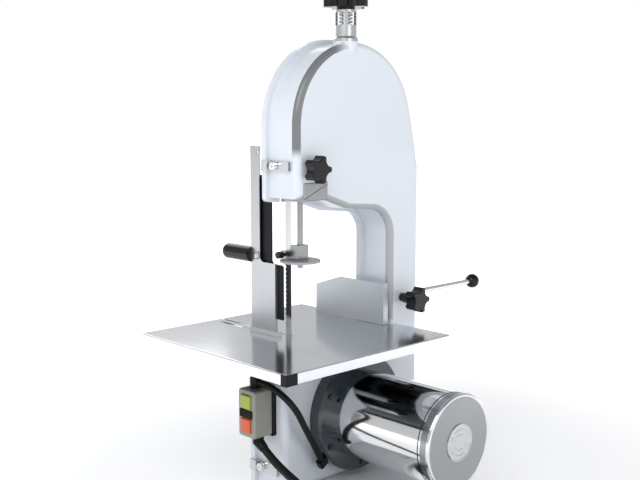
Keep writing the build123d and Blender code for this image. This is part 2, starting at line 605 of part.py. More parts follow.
with BuildPart() as lower_guide:
    block(CUT_X - 10, CUT_X + 10, BLADE_Y - 14, BLADE_Y + 10, 254, 268)
    cut_block(CUT_X - 0.9, CUT_X + 0.9, BLADE_Y - 8.5, BLADE_Y + 12, 250, 270)
    block(CUT_X - 10, CUT_X + 10, INNER_BACK, BLADE_Y - 14, 254, 260)
    block(CUT_X - 10, CUT_X + 10, INNER_BACK, INNER_BACK + 5, 240, 268)
save(lower_guide, "lower_guide")

# ---- upper blade guide ---------------------------------------------------------------------------------
POST_TIP, POST_TOP = GUIDE_PLATE_Z - 10, 640.0
with BuildPart() as guide_post:
    rod_z(GUIDE_X, GUIDE_Y, POST_R, POST_TIP, POST_TOP)
    chamfer(guide_post.edges().filter_by(GeomType.CIRCLE), 1)
save(guide_post, "guide_post")

with BuildPart() as guide_plate:
    with BuildSketch(Plane.XY.offset(GUIDE_PLATE_Z)):
        with Locations((GUIDE_X, GUIDE_Y)):
            Circle(GUIDE_PLATE_R)
            Circle(POST_R, mode=Mode.SUBTRACT)
        with Locations((CUT_X, BLADE_Y)):
            Rectangle(6.5, 24, mode=Mode.SUBTRACT)
    extrude(amount=4)
save(guide_plate, "guide_plate")

ARM_LOW, ARM_HIGH, BRACKET_TOP = GUIDE_PLATE_Z + 6, GUIDE_PLATE_Z + 18, GUIDE_PLATE_Z + 30
THRUST_Y, THRUST_R, THRUST_Z = 54.4, 7.0, GUIDE_PLATE_Z + 22
SCREW_Y, SCREW_Z = 66.0, GUIDE_PLATE_Z + 12
with BuildPart() as guide_bracket:
    block(-125, -100, 33, 52, GUIDE_PLATE_Z + 4, BRACKET_TOP)
    for x0, x1 in ((-125, -121), (-106, -100)):
        block(x0, x1, 50, 76, ARM_LOW, ARM_HIGH)
    cut_block(CUT_X - 4, CUT_X + 4, THRUST_Y - THRUST_R - 0.6, 60, THRUST_Z - THRUST_R - 1, BRACKET_TOP)
    rod_z(GUIDE_X, GUIDE_Y, POST_R, GUIDE_PLATE_Z, BRACKET_TOP, mode=Mode.SUBTRACT)
save(guide_bracket, "guide_bracket")

with BuildPart() as guide_blocks:
    block(-121, CUT_X - 0.75, 62, 75, ARM_LOW, ARM_HIGH)
    block(CUT_X + 0.75, -106, 62, 75, ARM_LOW, ARM_HIGH)
    rod_x(THRUST_Y, THRUST_Z, THRUST_R, CUT_X - 3, CUT_X + 3)
    rod_x(THRUST_Y, THRUST_Z, 2.5, CUT_X - 4, CUT_X + 4)
save(guide_blocks, "guide_blocks")

with BuildPart() as guide_screws:
    rod_x(SCREW_Y, SCREW_Z, 6, -143, -131)
    fillet(guide_screws.edges().filter_by(GeomType.CIRCLE), 1)
    rod_x(SCREW_Y, SCREW_Z, 3, -131, -125)
    rod_x(SCREW_Y, SCREW_Z, 5, -100, -95)
save(guide_screws, "guide_screws")

CLAMP_FACE_Y = 13.0
with BuildPart() as guide_clamp:
    block(-128, -72, CLAMP_FACE_Y, 56, 541, 572)
    block(-128, -96, INNER_BACK + GAP, 56, 572, 635)
    chamfer(guide_clamp.faces().sort_by(Axis.Y)[0].edges(), 1.5)
    rod_z(GUIDE_X, GUIDE_Y, POST_R + 0.06, 530, 640, mode=Mode.SUBTRACT)
    rod_y(GUIDE_X, LOCK_Z, 5, 10, GUIDE_Y, mode=Mode.SUBTRACT)
    with Locations(Location((-100, CLAMP_FACE_Y, 557), (0, -24, 0))):
        Box(90, 3, 1.6, mode=Mode.SUBTRACT)
save(guide_clamp, "guide_clamp")


def lock_knob(x, z, r, face_y, star_y, end_y, tip_y, stud_r):
    """A star knob on a screw along Y, with a conical hub next to the casting."""
    with BuildPart() as knob:
        with BuildSketch(Plane.XY.offset(z)):
            with BuildLine():
                Polyline((x, face_y), (x + 8, face_y), (x + 13, star_y), (x, star_y), close=True)
            make_face()
        revolve(axis=Axis((x, 0, z), (0, 1, 0)))
        with BuildSketch(upright(star_y)):
            add(star(x, z, r, 5, r * 0.5))
        extrude(amount=star_y - end_y)
        fillet(knob.faces().sort_by(Axis.Y)[0].edges(), 2)
        rod_y(x, z, stud_r, tip_y, face_y)
    return knob


save(lock_knob(GUIDE_X, LOCK_Z, 24, BACK_Y - 1, 6, -14, GUIDE_Y - POST_R - GAP, 5 - RUN), "guide_lock_knob")

# ---- fence ---------------------------------------------------------------------------------------------
FENCE_NEAR, FENCE_STRAIGHT, FENCE_END = 8.0, 188.0, 205.0
FENCE_LOW, FENCE_HIGH = TABLE_TOP + 0.5, 378.0
with BuildPart() as fence_plate:
    with BuildSketch(Plane.XY.offset(FENCE_LOW)):
        with BuildLine():
            Polyline(
                (FENCE_X + 12, FENCE_NEAR),
                (FENCE_X, FENCE_NEAR),
                (FENCE_X, FENCE_STRAIGHT),
                (FENCE_X + 16, FENCE_END),
                (FENCE_X + 17.5, FENCE_END - 1.4),
                (FENCE_X + 2, FENCE_STRAIGHT - 1),
                (FENCE_X + 2, FENCE_NEAR + 2),
                (FENCE_X + 12, FENCE_NEAR + 2),
                close=True,
            )
        make_face()
    extrude(amount=FENCE_HIGH - FENCE_LOW)
    with BuildSketch(Plane.YZ.offset(FENCE_X - 5)):
        with BuildLine():
            Polyline(
                (122, FENCE_HIGH),
                (240, FENCE_HIGH - 39),
                (240, FENCE_HIGH + 10),
                (122, FENCE_HIGH + 10),
                close=True,
            )
        make_face()
    extrude(amount=30, mode=Mode.SUBTRACT)
save(fence_plate, "fence_plate")

BALL_X, BALL_R = 365.0, 14.5
with BuildPart() as fence_rod:
    rod_x(FENCE_ROD_Y, FENCE_ROD_Z, ROD_R, FENCE_X + 2, BALL_X - 8)
    rod_x(FENCE_ROD_Y, FENCE_ROD_Z, 9, FENCE_X + 2, FENCE_X + 8)
save(fence_rod, "fence_rod")

with BuildPart() as fence_ball:
    with Locations((BALL_X, FENCE_ROD_Y, FENCE_ROD_Z)):
        Sphere(BALL_R)
    rod_x(FENCE_ROD_Y, FENCE_ROD_Z, ROD_R, BALL_X - 30, BALL_X - 8, mode=Mode.SUBTRACT)
save(fence_ball, "fence_ball")

with BuildPart() as fence_supports:
    for x0 in (THROAT_X, BODY_RIGHT - WALL):
        rod_x(FENCE_ROD_Y, FENCE_ROD_Z, ROD_R + 4, x0, x0 + WALL)
    block(FENCE_KNOB_X - 14, FENCE_KNOB_X + 14, INNER_BACK, 46, FENCE_ROD_Z - 14, FENCE_ROD_Z + 14)
    rod_x(FENCE_ROD_Y, FENCE_ROD_Z, ROD_R + RUN, 80, 180, mode=Mode.SUBTRACT)
    rod_y(FENCE_KNOB_X, FENCE_ROD_Z, 5, 10, FENCE_ROD_Y, mode=Mode.SUBTRACT)
save(fence_supports, "fence_supports")

save(lock_knob(FENCE_KNOB_X, FENCE_ROD_Z, 24, BACK_Y - 1, -14, -35, FENCE_ROD_Y - ROD_R - GAP, 5 - RUN),
     "fence_lock_knob")

# ---- pusher --------------------------------------------------------------------------------------------
PUSHER_SHEET = 2.0
BAR_NEAR, STEP_Z = 123.0, 428.0
NYLON_NEAR, NYLON_LOW, NYLON_STEP, NYLON_BAR, NYLON_TOP = 68.0, 329.0, 426.0, 98.0, 582.0
BOLT_Y = 129.0

with BuildPart() as pusher_face:
    with BuildSketch(Plane.YZ.offset(PUSHER_LEFT)):
        with BuildLine():
            Polyline((PUSHER_NEAR, PUSHER_LOW), (PUSHER_FAR, PUSHER_LOW), (PUSHER_FAR, PUSHER_TOP),
                     (BAR_NEAR, PUSHER_TOP), (BAR_NEAR, STEP_Z), (PUSHER_NEAR, STEP_Z), close=True)
        make_face()
        near = [v for v in vertices() if abs(v.X - BAR_NEAR) < 0.1 and abs(v.Y - STEP_Z) < 0.1]
        fillet(near, 10)
        with Locations((BAR_NEAR + 5, PUSHER_TOP - 10)):
            Circle(2.5, mode=Mode.SUBTRACT)
    extrude(amount=PUSHER_SHEET)
    block(PUSHER_LEFT, NYLON_LEFT, PUSHER_FAR - PUSHER_SHEET, PUSHER_FAR, PUSHER_LOW, PUSHER_TOP)
    block(PUSHER_LEFT, NYLON_LEFT, PUSHER_NEAR, PUSHER_NEAR + PUSHER_SHEET, PUSHER_LOW, STEP_Z)
    block(PUSHER_LEFT, NYLON_LEFT, PUSHER_NEAR, PUSHER_FAR, PUSHER_LOW, PUSHER_LOW + PUSHER_SHEET)
    rod_x(BOLT_Y, HANDLE_Z, 7.5, PUSHER_LEFT - 1.2, PUSHER_LEFT)
    rod_x(BOLT_Y, HANDLE_Z, 6, PUSHER_LEFT - 5, PUSHER_LEFT - 1.2)
    fillet(pusher_face.edges().filter_by(GeomType.CIRCLE).sort_by(Axis.X)[0], 3)
save(pusher_face, "pusher_face")

with BuildPart() as pusher_plate:
    with BuildSketch(Plane.YZ.offset(NYLON_LEFT)):
        with BuildLine():
            Polyline((NYLON_NEAR, NYLON_LOW), (PUSHER_FAR - 2, NYLON_LOW), (PUSHER_FAR - 2, NYLON_TOP),
                     (NYLON_BAR + 30, NYLON_TOP), (NYLON_BAR, NYLON_TOP - 10), (NYLON_BAR, NYLON_STEP),
                     (NYLON_NEAR, NYLON_STEP), close=True)
        make_face()
        inner = [v for v in vertices() if abs(v.X - NYLON_BAR) < 0.1 and abs(v.Y - NYLON_STEP) < 0.1]
        fillet(inner, 8)
        outer = [v for v in vertices() if abs(v.X - NYLON_NEAR) < 0.1 and abs(v.Y - NYLON_STEP) < 0.1]
        fillet(outer, 5)
    extrude(amount=PUSHER_RIGHT - NYLON_LEFT)
save(pusher_plate, "pusher_plate")

with BuildPart() as pusher_handle:
    rod_y(HANDLE_X, HANDLE_Z, 14, PUSHER_FAR, PUSHER_FAR + 75)
    fillet(pusher_handle.edges().filter_by(GeomType.CIRCLE).sort_by(Axis.Y)[-1], 9)
save(pusher_handle, "pusher_handle")

KEY_NEAR, KEY_FAR, FOOT_NEAR, FOOT_LEFT = 100.0, 130.0, 72.0, -140.0
with BuildPart() as pusher_foot:
    block(FOOT_LEFT, PUSHER_RIGHT, FOOT_NEAR, PUSHER_FAR, TABLE_TOP + GAP, PUSHER_LOW)
    chamfer(pusher_foot.edges().filter_by(Axis.Z), 2)
    block(KEY_X - KEY_WIDTH / 2, KEY_X + KEY_WIDTH / 2, KEY_NEAR, KEY_FAR, 295, TABLE_TOP + 1)
    block(KEY_X - 10.5, KEY_X + 10.5, KEY_NEAR, KEY_FAR, 293, TABLE_TOP - TABLE_SHEET - GAP)
save(pusher_foot, "pusher_foot")

# ---- switch --------------------------------------------------------------------------------------------
SWITCH_HALF_Y, SWITCH_HALF_Z = 21.75, 41.5
PLATE_X, SWITCH_FRONT = -180.0, -218.0
BUTTON_HALF, BUTTON_OUT, SLOT_PLAY, SWITCH_WALL = 12.0, 4.0, 0.5, 2.5
SKIRT_HALF = BUTTON_HALF + 1.5
START_Z, STOP_Z = SWITCH_Z + 21.0, SWITCH_Z - 20.5


def switch_outline(x, y, grow, corner):
    """Rounded rectangle of the switch box in the plane at X, facing -X."""
    with BuildSketch(side(x)) as sketch:
        with Locations((-y, SWITCH_Z)):
            RectangleRounded(2 * (SWITCH_HALF_Y + grow), 2 * (SWITCH_HALF_Z + grow), corner)
    return sketch.sketch


with BuildPart() as switch_back_plate:
    extrude(switch_outline(BOX_LEFT, 60, 2.25, 5), amount=BOX_LEFT - PLATE_X)
    chamfer(switch_back_plate.faces().sort_by(Axis.X)[0].edges(), 1.5)
save(switch_back_plate, "switch_back_plate")

with BuildPart() as switch_box:
    extrude(switch_outline(PLATE_X, SWITCH_Y, 0, 5), amount=PLATE_X - SWITCH_FRONT)
    fillet(switch_box.faces().sort_by(Axis.X)[0].edges(), 3)
    extrude(switch_outline(PLATE_X, SWITCH_Y, -SWITCH_WALL, 3), amount=PLATE_X - SWITCH_FRONT - SWITCH_WALL,
            mode=Mode.SUBTRACT)
    slot_half = BUTTON_HALF + SLOT_PLAY
    for z in (START_Z, STOP_Z):
        cut_block(SWITCH_FRONT - 5, SWITCH_FRONT + 5, SWITCH_Y - slot_half, SWITCH_Y + slot_half,
                  z - slot_half, z + slot_half)
save(switch_box, "switch_box")


def button(z):
    """A square push button with rounded edges and a retaining skirt inside the box."""
    with BuildPart() as press:
        block(SWITCH_FRONT - BUTTON_OUT, SWITCH_FRONT + 3, SWITCH_Y - BUTTON_HALF, SWITCH_Y + BUTTON_HALF,
              z - BUTTON_HALF, z + BUTTON_HALF)
        fillet(press.faces().sort_by(Axis.X)[0].edges(), 2)
        block(SWITCH_FRONT + 3, SWITCH_FRONT + 5, SWITCH_Y - SKIRT_HALF, SWITCH_Y + SKIRT_HALF,
              z - SKIRT_HALF, z + SKIRT_HALF)
    return press


save(button(START_Z), "start_button")
save(button(STOP_Z), "stop_button")

# ---- cables --------------------------------------------------------------------------------------------
CABLE_R, LEAD_R = 5.75, 7.0
MOTOR_ROUTE = [
    (-195, 54, 233),
    (-195, 35, 233),
    (-192, 17, 228),
    (-186, 2, 218),
    (-178, -9, 204.5),
    (-169, -14.5, 189),
    (-158, -14, 170),
    (-141.5, -10.5, 145.5),
    (-122.5, -6.5, 117.5),
    (-103.5, -2, 88.5),
]
MAINS_ROUTE = [
    (-199, 38, 121),
    (-199, 18, 108.5),
    (-200, -15, 95),
    (-202, -60, 82),
    (-205, -110, 60),
    (-207, -150, 40),
    (-207, -185, 35),
]
COIL_X, COIL_Y, COIL_R, COIL_TURNS = -130.0, -205.0, 77.0, 3


def cable(route, r):
    """A round cable along straight runs that are joined by tangent arcs. Prints what its bends come to."""
    radii = []
    for a, b, c in zip(route, route[1:], route[2:]):
        run_in = Vector(*b) - Vector(*a)
        run_out = Vector(*c) - Vector(*b)
        half_turn = math.radians(run_in.get_angle(run_out)) / 2
        radii.append(0.45 * min(run_in.length, run_out.length) / math.tan(half_turn))
    with BuildPart() as tube:
        with BuildLine() as path:
            FilletPolyline(*route, radius=radii)
        start = Plane(origin=path.line @ 0, z_dir=path.line % 0)
        with BuildSketch(start) as section:
            Circle(r)
        sweep(section.sketch, path=path.line)
        length = sum(edge.length for edge in path.line.edges())
        share = tube.part.volume / (math.pi * r * r * length)
        print(f"cable: length {length:.0f}, volume share {share:.4f}, radii", *map(round, radii))
        rod_z(COIL_X, COIL_Y, COIL_R + LEAD_R, 0, 60, mode=Mode.SUBTRACT)
    return tube


save(cable(MOTOR_ROUTE, CABLE_R), "motor_cable")
save(cable(MAINS_ROUTE, LEAD_R), "mains_lead")

with BuildPart() as mains_coil:
    with BuildSketch():
        with Locations((COIL_X, COIL_Y)):
            Circle(COIL_R + LEAD_R)
            Circle(COIL_R - LEAD_R, mode=Mode.SUBTRACT)
    extrude(amount=COIL_TURNS * 2 * LEAD_R)
save(mains_coil, "mains_coil")

PLUG_Y, PLUG_Z = COIL_Y - COIL_R, 16.0
with BuildPart() as mains_plug:
    rod_x(PLUG_Y, PLUG_Z, 10, -76, -64)
    rod_x(PLUG_Y, PLUG_Z, 16, -64, -32)
    fillet(mains_plug.edges().filter_by(GeomType.CIRCLE).filter_by(lambda e: e.radius > 15), 3)
    for y in (-9.5, 9.5):
        rod_x(PLUG_Y + y, PLUG_Z, 2.4, -32, -13)
save(mains_plug, "mains_plug")


def toward(a, b):
    return tuple(q - p for p, q in zip(a, b))


def gland(x, y, z0, z1, route, r, reach):
    """A hexagon nut against the box, and the tapered sleeve that holds the start of a cable."""
    with BuildSketch(Plane.XY.offset(min(z0, z1))) as nut:
        with Locations((x, y)):
            RegularPolygon(10.5, 6)
    extrude(nut.sketch, amount=abs(z1 - z0))
    with BuildSketch(Plane(origin=route[0], z_dir=toward(route[1], route[0]))) as sleeve:
        Circle(r)
    extrude(sleeve.sketch, amount=reach, taper=-SLEEVE_TAPER)


SLEEVE_TAPER = 5.0
LUG = Plane(origin=MOTOR_ROUTE[-1], x_dir=(0, 1, 0), z_dir=toward(MOTOR_ROUTE[-2], MOTOR_ROUTE[-1]))
with BuildPart() as cable_glands:
    gland(-195, 65, 223, 240, MOTOR_ROUTE, 6.8, 12)
    gland(-199, 54, 140, 127, MAINS_ROUTE, 8.0, 19)
    with BuildSketch(LUG) as lug:
        RectangleRounded(12.5, 19.2, 3)
    extrude(lug.sketch, amount=14)
save(cable_glands, "cable_glands")
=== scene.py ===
"""Looks of a table-top bone saw. Everything is in metres, in the frame of the CAD model."""
import json
import math

import bpy
import bmesh
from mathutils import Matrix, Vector


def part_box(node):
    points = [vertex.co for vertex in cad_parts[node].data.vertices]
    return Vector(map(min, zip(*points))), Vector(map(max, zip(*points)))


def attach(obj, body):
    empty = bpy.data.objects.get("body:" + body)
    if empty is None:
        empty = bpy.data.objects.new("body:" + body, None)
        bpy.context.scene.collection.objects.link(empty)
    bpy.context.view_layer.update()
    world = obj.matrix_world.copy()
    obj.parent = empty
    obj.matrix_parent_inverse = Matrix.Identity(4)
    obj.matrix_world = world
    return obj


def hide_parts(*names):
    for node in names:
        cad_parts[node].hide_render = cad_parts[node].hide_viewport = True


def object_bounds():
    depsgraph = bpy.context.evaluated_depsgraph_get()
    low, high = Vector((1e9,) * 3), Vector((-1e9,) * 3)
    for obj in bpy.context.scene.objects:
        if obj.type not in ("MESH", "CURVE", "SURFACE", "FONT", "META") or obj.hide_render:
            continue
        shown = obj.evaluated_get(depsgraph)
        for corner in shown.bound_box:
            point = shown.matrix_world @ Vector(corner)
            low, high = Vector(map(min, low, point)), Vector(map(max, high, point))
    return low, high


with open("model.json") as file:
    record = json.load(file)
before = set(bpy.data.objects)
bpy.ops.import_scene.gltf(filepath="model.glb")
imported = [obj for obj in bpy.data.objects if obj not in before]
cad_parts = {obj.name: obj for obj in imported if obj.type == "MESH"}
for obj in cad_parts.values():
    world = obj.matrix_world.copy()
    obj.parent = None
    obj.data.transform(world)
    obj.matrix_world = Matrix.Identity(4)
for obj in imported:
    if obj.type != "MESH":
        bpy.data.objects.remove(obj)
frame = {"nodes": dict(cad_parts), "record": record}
cad_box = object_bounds()
MM = 0.001


# ---- material kit ----------------------------------------------------------------------------
def surface(name, color, rough, metal=0.0, grain=(60, 60, 60), colour_var=0.05, rough_var=0.06,
            bump=0.03, coat=0.0, specular=0.5, spot=None):
    """A Principled material whose colour, roughness and relief vary with a noise in object space.

    grain stretches the fine noise along each axis. spot(nodes, links, place, colour) may paint a
    region over the colour and gives the colour that results.
    """
    mat = bpy.data.materials.new(name)
    mat.use_nodes = True
    nodes, links = mat.node_tree.nodes, mat.node_tree.links
    shader = nodes["Principled BSDF"]
    shader.inputs["Metallic"].default_value = metal
    shader.inputs["Coat Weight"].default_value = coat
    shader.inputs["Specular IOR Level"].default_value = specular
    place = nodes.new("ShaderNodeTexCoord")
    scale = nodes.new("ShaderNodeMapping")
    scale.inputs["Scale"].default_value = grain
    links.new(place.outputs["Object"], scale.inputs["Vector"])
    fine = nodes.new("ShaderNodeTexNoise")
    fine.inputs["Scale"].default_value = 8.0
    fine.inputs["Detail"].default_value = 5.0
    links.new(scale.outputs["Vector"], fine.inputs["Vector"])
    broad = nodes.new("ShaderNodeTexNoise")
    broad.inputs["Scale"].default_value = 7.0
    broad.inputs["Detail"].default_value = 3.0
    links.new(place.outputs["Object"], broad.inputs["Vector"])
    both = nodes.new("ShaderNodeMath")
    both.operation = "MULTIPLY"
    links.new(fine.outputs["Fac"], both.inputs[0])
    links.new(broad.outputs["Fac"], both.inputs[1])
    tint = nodes.new("ShaderNodeMix")
    tint.data_type = "RGBA"
    tint.inputs[6].default_value = [c * (1 - colour_var) for c in color] + [1]
    tint.inputs[7].default_value = [min(1, c * (1 + colour_var)) for c in color] + [1]
    spread = nodes.new("ShaderNodeMapRange")
    spread.inputs["From Min"].default_value = 0.12
    spread.inputs["From Max"].default_value = 0.38
    links.new(both.outputs[0], spread.inputs["Value"])
    links.new(spread.outputs["Result"], tint.inputs[0])
    colour = tint.outputs[2]
    if spot:
        colour = spot(nodes, links, place, colour)
    links.new(colour, shader.inputs["Base Color"])
    wear = nodes.new("ShaderNodeMapRange")
    wear.inputs["To Min"].default_value = max(0.02, rough - rough_var)
    wear.inputs["To Max"].default_value = min(1, rough + rough_var)
    links.new(fine.outputs["Fac"], wear.inputs["Value"])
    links.new(wear.outputs["Result"], shader.inputs["Roughness"])
    relief = nodes.new("ShaderNodeBump")
    relief.inputs["Strength"].default_value = bump
    relief.inputs["Distance"].default_value = 0.0005
    links.new(fine.outputs["Fac"], relief.inputs["Height"])
    links.new(relief.outputs["Normal"], shader.inputs["Normal"])
    return mat


def between(nodes, links, value, low, high):
    """A smooth step of a value from 0 at low to 1 at high."""
    step = nodes.new("ShaderNodeMapRange")
    step.interpolation_type = "SMOOTHSTEP"
    step.inputs["From Min"].default_value = low
    step.inputs["From Max"].default_value = high
    links.new(value, step.inputs["Value"])
    return step.outputs["Result"]


def region(nodes, links, place, steps):
    """1 inside a region, with soft borders. Each step is (axis, value outside, value inside)."""
    split = nodes.new("ShaderNodeSeparateXYZ")
    links.new(place.outputs["Object"], split.inputs[0])
    mask = None
    for axis, outside, inside in steps:
        step = between(nodes, links, split.outputs[axis], outside, inside)
        if mask is None:
            mask = step
            continue
        product = nodes.new("ShaderNodeMath")
        product.operation = "MULTIPLY"
        links.new(mask, product.inputs[0])
        links.new(step, product.inputs[1])
        mask = product.outputs[0]
    return mask


def paint_over(nodes, links, colour, mask, paint):
    """The colour with a second one over it where the mask is 1."""
    tint = nodes.new("ShaderNodeMix")
    tint.data_type = "RGBA"
    links.new(mask, tint.inputs[0])
    links.new(colour, tint.inputs[6])
    tint.inputs[7].default_value = paint
    return tint.outputs[2]


# The casting's rounded edge lies between its flat face and EDGE_END. Its bands, in metres, of which
# the pale one in the throat is painted shade:
FLAT_Y, EDGE_END = 15 * MM, 27 * MM
EDGE = [("Y", FLAT_Y + 0.05 * MM, FLAT_Y + 0.4 * MM),
        ("Y", EDGE_END + 0.5 * MM, EDGE_END - 1.0 * MM)]
HEAD = [("Z", 0.612, 0.632), ("X", -0.012, -0.055)]
THROAT = [("Z", 0.585, 0.560), ("Z", 0.300, 0.310), ("X", 0.112, 0.104), ("X", -0.129, -0.126)]
# The dark grey is the edge round the head; the pale grey is painted shade on the edge in the
# throat.
BAND_DARK, THROAT_SHADE_GREY = (0.17, 0.175, 0.185, 1), (0.40, 0.415, 0.43, 1)
TABLE_RIM, TABLE_SOFT = 2.2 * MM, 0.2 * MM
# Near black painted shade for the table's underside.
TABLE_UNDER_SHADE = (0.03, 0.032, 0.035, 1)


def edge_band_and_painted_shade(nodes, links, place, colour):
    """The rounded edge is dark grey round the head, and pale grey painted shade in the throat."""
    for steps, band in ((HEAD, BAND_DARK), (THROAT, THROAT_SHADE_GREY)):
        mask = region(nodes, links, place, EDGE + steps)
        colour = paint_over(nodes, links, colour, mask, band)
    return colour


def painted_shade_underside(nodes, links, place, colour):
    """The underside of the table, inside its rim, is painted near black as shade, so that the
    chrome motor tube below reflects a dark band.
    """
    low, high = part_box("table_top")
    rim, inner = TABLE_RIM, TABLE_RIM + TABLE_SOFT
    steps = [("Z", high.z - rim, high.z - inner)]
    for axis, start, end in (("X", low.x, high.x), ("Y", low.y, high.y)):
        steps += [(axis, start + rim, start + inner), (axis, end - rim, end - inner)]
    return paint_over(nodes, links, colour, region(nodes, links, place, steps), TABLE_UNDER_SHADE)


PAINT = (0.70, 0.74, 0.80)
INK = (0.005, 0.005, 0.006)
STEEL = (0.74, 0.755, 0.78)
# name, colour, roughness, metal, grain, colour_var, rough_var, bump
LOOKS = {
    "white_paint": surface("white_enamel", PAINT, 0.32, colour_var=0.015, bump=0.02, coat=0.3),
    "base_paint": surface("base_enamel", (0.70, 0.72, 0.74), 0.35, colour_var=0.03, bump=0.03),
    "grey_paint": surface("grey_enamel", (0.33, 0.34, 0.35), 0.35, 0.3, colour_var=0.08, bump=0.05),
    "flange_paint": surface("slate_enamel", (0.035, 0.045, 0.055), 0.22, colour_var=0.1,
                            bump=0.03, coat=0.5),
    "stainless": surface("brushed_table", STEEL, 0.17, 1.0, (6, 220, 60), 0.06, 0.05, 0.02),
    "plate_steel": surface("brushed_plate", (0.52, 0.54, 0.56), 0.36, 1.0, (60, 10, 300),
                           0.08, 0.06, 0.04),
    "blade_steel": surface("ground_blade", (0.66, 0.67, 0.68), 0.32, 1.0, (80, 80, 10),
                           0.05, 0.06, 0.03),
    "bright_steel": surface("polished_steel", (0.80, 0.81, 0.82), 0.09, 1.0, (30, 30, 30),
                            0.02, 0.03, 0.008),
    "aluminium": surface("turned_aluminium", (0.62, 0.63, 0.645), 0.26, 1.0, (90, 90, 90),
                         0.05, 0.06, 0.04),
    "black_oxide": surface("black_oxide", (0.045, 0.046, 0.05), 0.4, 0.4, (60, 60, 60),
                           0.1, 0.08, 0.05),
    "cast_iron": surface("machined_iron", (0.24, 0.245, 0.25), 0.45, 0.9, (70, 70, 70),
                         0.12, 0.1, 0.10),
    "black_knob": surface("gloss_black", INK, 0.22, colour_var=0.2, bump=0.03, specular=0.35),
    "black_nylon": surface("matt_black", INK, 0.42, colour_var=0.2, bump=0.08, specular=0.2),
    "black_rubber": surface("soft_black", (0.007, 0.007, 0.007), 0.50, colour_var=0.2,
                            bump=0.12, specular=0.25),
    "switch_grey": surface("warm_grey", (0.30, 0.295, 0.27), 0.40, colour_var=0.05, bump=0.06),
    "button_green": surface("green_button", (0.36, 0.46, 0.05), 0.30, colour_var=0.06,
                            bump=0.03, coat=0.3),
    "button_red": surface("red_button", (0.72, 0.10, 0.02), 0.30, colour_var=0.06,
                          bump=0.03, coat=0.3),
}
# White paint, with a dark grey band on the edge round the head and painted shade on the edge in the
# throat.
CASTING = surface("white_casting", PAINT, 0.32, colour_var=0.015, bump=0.02, coat=0.3,
                  spot=edge_band_and_painted_shade)
TUBE = surface("chromed_tube", (0.84, 0.85, 0.86), 0.10, 1.0, (20, 6, 20), 0.02, 0.02, 0.004)
POST = surface("drawn_steel", (0.30, 0.305, 0.31), 0.30, 1.0, (60, 60, 8), 0.08, 0.05, 0.03)
FENCE = surface("satin_fence", (0.62, 0.65, 0.69), 0.48, 0.9, (40, 12, 240), 0.05, 0.06, 0.03)
# The table top, with painted shade on its underside.
TABLE = surface("mirror_table", STEEL, 0.15, 1.0, (6, 220, 60), 0.05, 0.04, 0.015,
                spot=painted_shade_underside)
CAP_FACE = surface("brushed_cap", (0.36, 0.37, 0.385), 0.26, 1.0, (10, 10, 200), 0.06, 0.06, 0.03)
# nodes whose look differs from their slot's
OWN_LOOK = {"body_casting": CASTING, "motor_shell": TUBE, "motor_end_cap": CAP_FACE,
            "guide_post": POST, "guide_bracket": POST, "fence_plate": FENCE, "table_top": TABLE}

SLOT_OF = {part["node"]: part["material_slot"] for part in frame["record"]["subparts"]}
for node, obj in frame["nodes"].items():
    obj.data.materials.clear()
    obj.data.materials.append(OWN_LOOK.get(node) or LOOKS[SLOT_OF[node]])


# ---- mesh kit --------------------------------------------------------------------------------
def finish_piece(name, bm, look, body, bevel=0.0, smooth=True):
    """Turns a bmesh into a piece with a material, a bevel and a body that it rides on."""
    mesh = bpy.data.meshes.new(name)
    bmesh.ops.recalc_face_normals(bm, faces=bm.faces)
    bm.to_mesh(mesh)
    bm.free()
    obj = bpy.data.objects.new(name, mesh)
    bpy.context.scene.collection.objects.link(obj)
    mesh.materials.append(look)
    if smooth:
        for face in mesh.polygons:
            face.use_smooth = True
    if bevel:
        edge = obj.modifiers.new("edge", "BEVEL")
        edge.width = bevel
        edge.segments = 3
        edge.limit_method = "ANGLE"
        edge.harden_normals = True
    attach(obj, body)
    return obj


def prism(bm, outline, start, end, place):
    """Extrudes an outline of 2-D points between two heights. place(u, v, w) gives the point."""
    rings = [[bm.verts.new(place(u, v, w)) for u, v in outline] for w in (start, end)]
    bm.faces.new(rings[0])
    bm.faces.new(rings[1])
    for i in range(len(outline)):
        j = (i + 1) % len(outline)
        bm.faces.new((rings[0][i], rings[0][j], rings[1][j], rings[1][i]))


def lathe(bm, profile, centre, steps=96):
    """Turns a closed profile of (radius, y) about an axis along Y through centre = (x, z)."""
    x0, z0 = centre
    rings = []
    for k in range(steps):
        a = 2 * math.pi * k / steps
        rings.append([bm.verts.new((x0 + r * math.cos(a), y, z0 + r * math.sin(a)))
                      for r, y in profile])
    for k in range(steps):
        here, there = rings[k], rings[(k + 1) % steps]
        for i in range(len(profile)):
            j = (i + 1) % len(profile)
            bm.faces.new((here[i], here[j], there[j], there[i]))


# ---- blade with teeth ------------------------------------------------------------------------
blade_low, blade_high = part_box("blade")
THICK = 0.7 * MM
TOOTH_PITCH, TOOTH_DEPTH = 8 * MM, 3 * MM


def blade_path(step):
    """Points and outward normals round the loop of the blade, a step apart."""
    x0 = (blade_low.x + blade_high.x) / 2
    radius = (blade_high.x - blade_low.x) / 2 - THICK / 2
    z_low, z_high = blade_low.z + THICK / 2 + radius, blade_high.z - THICK / 2 - radius
    straight, turn = z_high - z_low, math.pi * radius
    count = 2 * round((straight + turn) / step)
    for k in range(count):
        s = 2 * (straight + turn) * k / count
        if s < turn:
            a = s / radius
            yield x0 + radius * math.cos(a), z_high + radius * math.sin(a), math.cos(a), math.sin(a)
        elif s < turn + straight:
            yield x0 - radius, z_high - (s - turn), -1.0, 0.0
        elif s < 2 * turn + straight:
            a = math.pi + (s - turn - straight) / radius
            yield x0 + radius * math.cos(a), z_low + radius * math.sin(a), math.cos(a), math.sin(a)
        else:
            yield x0 + radius, z_low + (s - 2 * turn - straight), 1.0, 0.0


